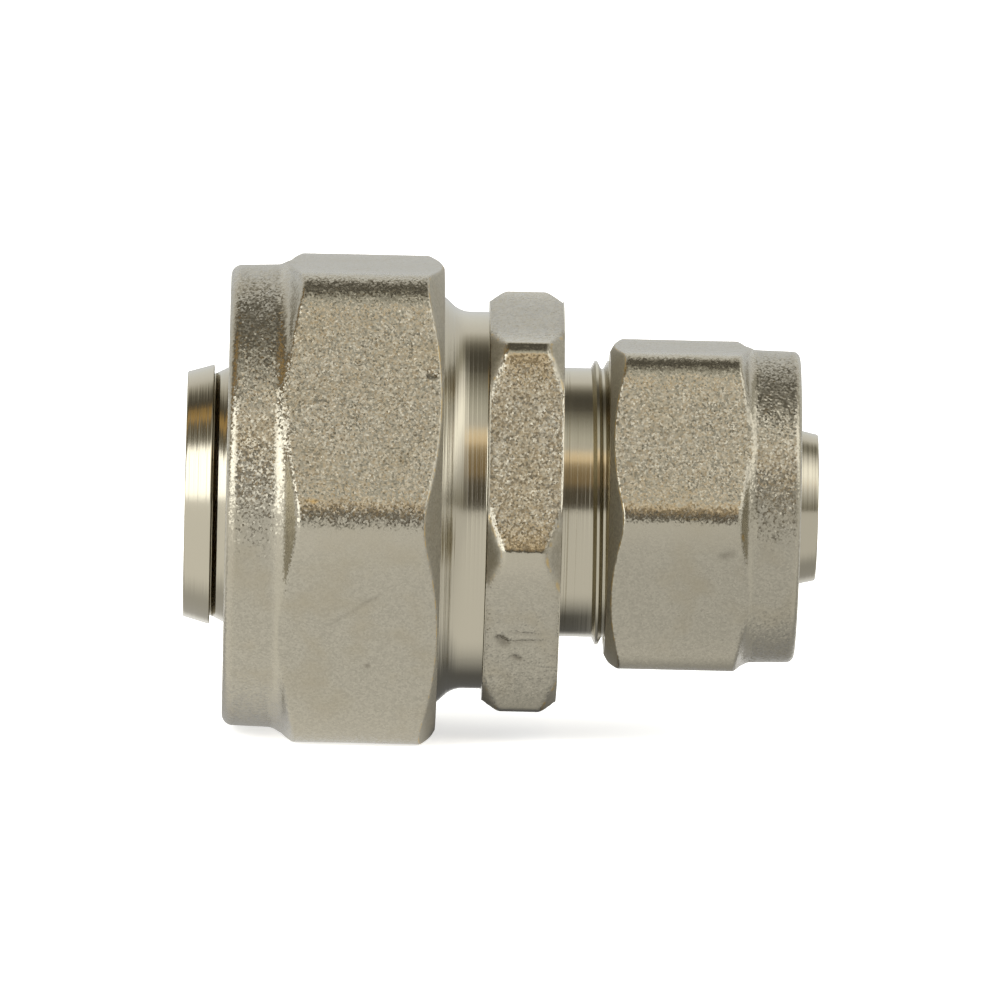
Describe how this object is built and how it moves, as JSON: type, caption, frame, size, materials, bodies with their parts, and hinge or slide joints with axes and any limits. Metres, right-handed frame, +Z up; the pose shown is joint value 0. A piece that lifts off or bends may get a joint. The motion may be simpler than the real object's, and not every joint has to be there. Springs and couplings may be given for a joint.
{
  "type": "reducing compression coupling",
  "caption": "Nickel-plated brass reducing compression coupling: a hexagon body with a barbed spigot and a union nut at each end, for joining multilayer pipe of two sizes.",
  "frame": {"origin": "on the waterway's axis, halfway between the two spigot tips", "axes": "+X along the waterway towards the small end, +Z up through a flat of the nuts, the picture looks along +Y"},
  "size_m": [0.0498, 0.0414, 0.037],
  "materials": {
    "nickel_plated_brass": "nickel-plated, satin on the forged faces and bright where turned",
    "bare_brass": "turned, unplated",
    "epdm_rubber": "matt black",
    "ptfe": "matt white"
  },
  "bodies": {
    "body": {"body": "nickel_plated_brass", "large_front_o_ring": "epdm_rubber", "large_rear_o_ring": "epdm_rubber", "large_insulating_washer": "ptfe", "small_front_o_ring": "epdm_rubber", "small_rear_o_ring": "epdm_rubber", "small_insulating_washer": "ptfe"},
    "large_ring": {"large_split_ring": "bare_brass"},
    "large_nut": {"large_nut": "nickel_plated_brass"},
    "small_ring": {"small_split_ring": "bare_brass"},
    "small_nut": {"small_nut": "nickel_plated_brass"}
  },
  "joints": [
    {"name": "large_ring_slide", "type": "slide", "parent": "body", "child": "large_ring", "axis": [-1, 0, 0], "range_m": [0, 0.009]},
    {"name": "large_nut_turn", "type": "hinge", "parent": "large_ring", "child": "large_nut", "pos_m": [-0.0132, 0, 0], "axis": [-1, 0, 0], "range_deg": [0, 2160]},
    {"name": "small_ring_slide", "type": "slide", "parent": "body", "child": "small_ring", "axis": [1, 0, 0], "range_m": [0, 0.008]},
    {"name": "small_nut_turn", "type": "hinge", "parent": "small_ring", "child": "small_nut", "pos_m": [0.0158, 0, 0], "axis": [1, 0, 0], "range_deg": [0, 2880]}
  ],
  "couplings": [
    {"joint": "large_ring_slide", "follows": "large_nut_turn", "m_per_rad": 0.00023873},
    {"joint": "small_ring_slide", "follows": "small_nut_turn", "m_per_rad": 0.00015915}
  ]
}
